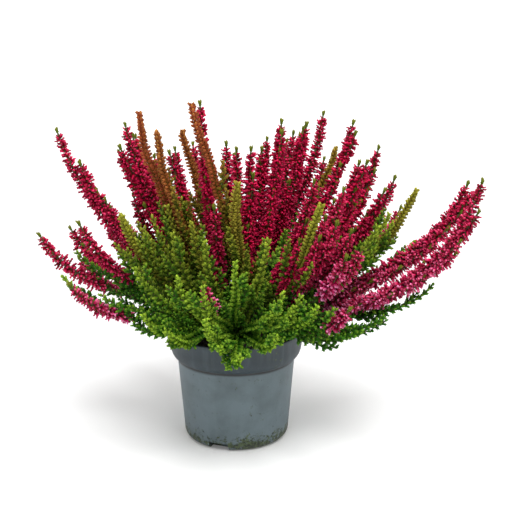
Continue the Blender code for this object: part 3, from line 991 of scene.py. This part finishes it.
def racemeStrands(title, shoot, rng):
    if title not in racemes:
        return []
    count, low, high, short, long, opening, towards, faded = racemes[title]
    step = spikeLook["racemeStep"]
    strands = []
    for k in range(count):
        at = low + (high - low) * (k + rng.random()) / count
        side = sideShoot(shoot, at, rng.uniform(short, long) / 1000, math.radians(opening), rng, Vector(towards))
        # the lowest racemes opened first, so they have faded most
        pale = faded * max(0, min(1, 1.5 - 1.6 * at))
        strands.append(budStrand(cutPath(side, 0.004, lengthOf(side), step), pale, 0.8))
    return strands


def makeSpikes():
    look = spikeLook
    for number, (title, (x, y, z, length, pale)) in enumerate(spikes.items()):
        rng = random.Random(500 + number)
        shoot, _ = pathTo(x, y, z, roots, sags.get(title, 0))
        path = topOf(shoot, length)
        strands = [budStrand(path, pale, 1.0)]
        if length > 80 and title not in racemes:
            # one short raceme starts low on the spike and stands close beside it
            side = sideShoot(path, rng.uniform(0.05, 0.4), rng.uniform(0.018, 0.03), rng.uniform(0.35, 0.55), rng)
            strands.append(budStrand(cutPath(side, 0.003, lengthOf(side), look["racemeStep"]), pale, 0.62))
        strands += racemeStrands(title, shoot, rng)
        for owner, tipX, tipY, tipZ, flowering, faded in lowSpikes:
            if owner == title:
                strands.append(budStrand(topOf(pathTo(tipX, tipY, tipZ, roots)[0], flowering), faded, 1.0))
        grown = grow("buds_" + title, strands, spikeTree, {
            "Bud spacing": look["spacing"], "Buds in a whorl": look["whorl"],
            "Low lean": look["lowLean"], "Tip lean": look["tipLean"], "Seed": 900 + number,
            "Short bud": buds[0], "Middle bud": buds[1], "Long bud": buds[2], "Tip sprig": sprigs[0],
            "Wood": woodMaterial, "Leaf": leafMaterial, "Bud": budMaterial,
        })
        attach(grown, "root")
        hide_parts("spike_" + title)


makeSpikes()
print("bud spikes grown")

for helper in sprigs + buds:
    bpy.data.objects.remove(helper)


potShape = {
    "height": 0.1,
    "rim": 0.06,
    "collarFootZ": 0.0755,
    "collarFoot": 0.0545,
    "bodyTop": 0.0528,
    "bodyFoot": 0.0472,
    "corner": 0.0068,
    "wall": 0.0016,
    "floor": 0.0022,
    "sides": 144,  # outwards from the collar's foot, and up from it; then inwards from the rim, and down from it
    "collar": ((-0.0008, -0.0002), (0, 0.0002), (0.0016, 0.0017), (0.003, 0.004), (0.004, 0.007), (0.0047, 0.011)),
    "lip": ((-0.0004, -0.0034), (0, -0.0028), (0, -0.0006), (-0.0005, 0)),
    "bodyLevels": (0.33, 0.66, 0.985, 1.0),
    "cornerSteps": 7,
    "slots": 3,
    "slotInset": 0.011,
    "slotDrop": 0.0027,
    "sharpFrom": math.radians(38),
    "slotSize": (0.021, 0.018, 0.01),
    "slotTurn": math.radians(-109),
}


def lathe(name, profile, sides):
    # a profile that starts and ends on the axis, turned once round and closed
    points = [Vector((0, 0, profile[0][1]))]
    for radius, z in profile[1:-1]:
        points += [polar(radius, 2 * math.pi * k / sides, z) for k in range(sides)]
    points.append(Vector((0, 0, profile[-1][1])))
    last = len(points) - 1
    faces = []
    for k in range(sides):
        right = (k + 1) % sides
        faces.append((0, 1 + right, 1 + k))
        for ring in range(len(profile) - 3):
            low = 1 + ring * sides
            faces.append((low + k, low + right, low + sides + right, low + sides + k))
        faces.append((last - sides + k, last - sides + right, last))
    return meshFrom(name, points, faces)


def makePot():
    shape = potShape
    rim, height, wall, floor = (shape[n] for n in ("rim", "height", "wall", "floor"))
    foot, top, corner, steps = (shape[n] for n in ("bodyFoot", "bodyTop", "corner", "cornerSteps"))
    collar, collarZ = shape["collarFoot"], shape["collarFootZ"]
    outside = [(0, 0), (0.02, 0)]
    for k in range(steps + 1):
        angle = math.pi / 2 * k / steps
        outside.append((foot - corner * (1 - math.sin(angle)), corner * (1 - math.cos(angle))))
    outside += [(foot + (top - foot) * t, corner + (collarZ - corner) * t) for t in shape["bodyLevels"]]
    outside += [(collar + out, collarZ + up) for out, up in shape["collar"]]
    outside += [(rim + out, height + up) for out, up in shape["lip"]]
    # down the inside
    outside += [
        (rim - wall + 0.0003, height),
        (rim - wall, height - 0.0004),
        (collar - wall, collarZ + 0.0012),
        (top - wall, collarZ - 0.003),
        (foot - wall, corner + 0.001),
        (foot - corner, floor),
        (0, floor),
    ]
    pot = linkedObject("nursery_pot", lathe("nursery_pot", outside, shape["sides"]))
    depth, width, tall = shape["slotSize"]
    cutters = bmesh.new()
    for k in range(shape["slots"]):
        turn = Matrix.Rotation(shape["slotTurn"] + 2 * math.pi * k / shape["slots"], 4, "Z")
        place = Matrix.Translation((foot - shape["slotInset"] + depth / 2, 0, tall / 2 - shape["slotDrop"]))
        bmesh.ops.create_cube(cutters, size=1, matrix=turn @ place @ Matrix.Diagonal((depth, width, tall, 1)))
    cutterMesh = bpy.data.meshes.new("drainSlots")
    cutters.to_mesh(cutterMesh)
    cutters.free()
    cutter = linkedObject("drainSlots", cutterMesh)
    cut = pot.modifiers.new("Drain slots", "BOOLEAN")
    cut.operation = "DIFFERENCE"
    cut.object = cutter
    graph = bpy.context.evaluated_depsgraph_get()
    mesh = bpy.data.meshes.new_from_object(pot.evaluated_get(graph))
    pot.modifiers.clear()
    pot.data = mesh
    bpy.data.objects.remove(cutter)
    mesh.shade_smooth()
    mesh.set_sharp_from_angle(angle=shape["sharpFrom"])
    mesh.materials.clear()
    mesh.materials.append(potMaterial)
    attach(pot, "root")
    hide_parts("pot")


makePot()
print("pot turned")


soilShape = {
    "rings": 26,
    "sides": 110,
    "edge": 0.0546,  # radius and height, from under the root ball up the pot's wall
    "below": ((0, 0.0026), (0.036, 0.0026), (0.036, 0.0078), (0.0448, 0.0078), (0.0502, 0.072), (0.0522, 0.0785)),
    "dome": 0.0022,
    "lumps": 0.0011,
    "lumpScale": 95,
}


def makeSoil():
    shape = soilShape
    rings, edge, top = shape["rings"], shape["edge"], plant["soilEdge"]
    profile = list(shape["below"]) + [(edge * (1 - k / rings), top) for k in range(rings)] + [(0, top)]
    mesh = lathe("peat", profile, shape["sides"])
    for vertex in mesh.vertices:
        x, y, z = vertex.co
        if z > top - 0.0001:
            share = math.hypot(x, y) / edge
            lump = noise.fractal(Vector((x, y, 0)) * shape["lumpScale"], 0.9, 2.1, 5) * shape["lumps"]
            vertex.co.z = top + shape["dome"] * (1 - share**2) + lump
    soil = linkedObject("peat_soil", mesh)
    mesh.materials.append(peatMaterial)
    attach(soil, "root")
    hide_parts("soil")


makeSoil()
print("soil filled")


studio = {
    "floor": "#f4f4f4",
    # how brightly the paper shines near the pot and far from it: two distances, two strengths
    "glow": (0.35, 1.6, 0.1, 0.75),
    "reach": 6.0,  # the paper comes this far forward, goes this far back and bends up
    "back": 5.0,
    "bend": 1.5,
    "halfWidth": 8,
    "sky": 0.5,
    "key": 22.0,
    "keyPlace": (0.15, -0.4, 1.25),
    "keySize": 1.0,
    "cameraPlace": (0.0233, -0.8346, 0.3792),
    "cameraDown": 14.7,
    "lens": 67.2,
}


def makeStudio():
    # a paper sweep: flat under the pot, turned up far behind it
    look = studio
    reach, back, bend, wide = (look[n] for n in ("reach", "back", "bend", "halfWidth"))
    profile = [(-reach, 0.0), (back, 0.0)]
    for degrees in range(10, 91, 10):
        angle = math.radians(degrees)
        profile.append((back + bend * math.sin(angle), bend * (1 - math.cos(angle))))
    profile.append((back + bend, 6.0))
    points = [(x, y, z) for y, z in profile for x in (-wide, wide)]
    sheets = [(2 * k, 2 * k + 1, 2 * k + 3, 2 * k + 2) for k in range(len(profile) - 1)]
    floor = linkedObject("floor", meshFrom("floor", points, sheets))
    material, tree, shader = newMaterial("pale paper sweep")
    shader.inputs["Base Color"].default_value = fromHex(look["floor"])
    shader.inputs["Roughness"].default_value = 0.9
    shader.inputs["Emission Color"].default_value = (1, 1, 1, 1)
    away = addNode(tree, "ShaderNodeVectorMath", {0: objectPlace(tree)}, operation="LENGTH").outputs["Value"]
    tree.links.new(mapped(tree, away, *look["glow"]), shader.inputs["Emission Strength"])
    floor.data.materials.append(material)
    floor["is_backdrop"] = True
    world = bpy.data.worlds.new("soft studio")
    bpy.context.scene.world = world
    world.use_nodes = True
    sky = world.node_tree.nodes["Background"].inputs
    sky["Color"].default_value = (1, 1, 1, 1)
    sky["Strength"].default_value = look["sky"]
    lamp = bpy.data.lights.new("key", "AREA")
    lamp.energy = look["key"]
    lamp.size = look["keySize"]
    key = linkedObject("key", lamp)
    key.location = look["keyPlace"]
    key.rotation_euler = (Vector((0, 0, 0.15)) - key.location).to_track_quat("-Z", "Y").to_euler()
    lens = bpy.data.cameras.new("camera")
    lens.lens = look["lens"]
    lens.sensor_width = 36
    lens.clip_start, lens.clip_end = 0.01, 50
    camera = linkedObject("camera", lens)
    camera.location = look["cameraPlace"]
    camera.rotation_euler = (math.radians(90 - look["cameraDown"]), 0, 0)
    bpy.context.scene.camera = camera
    bpy.context.scene.view_settings.view_transform = "Standard"


makeStudio()

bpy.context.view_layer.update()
faces = {o.name: sum(len(p.vertices) - 2 for p in o.data.polygons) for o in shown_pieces()}
print("triangles", sum(faces.values()), "largest", sorted((n, k) for k, n in faces.items())[-3:])
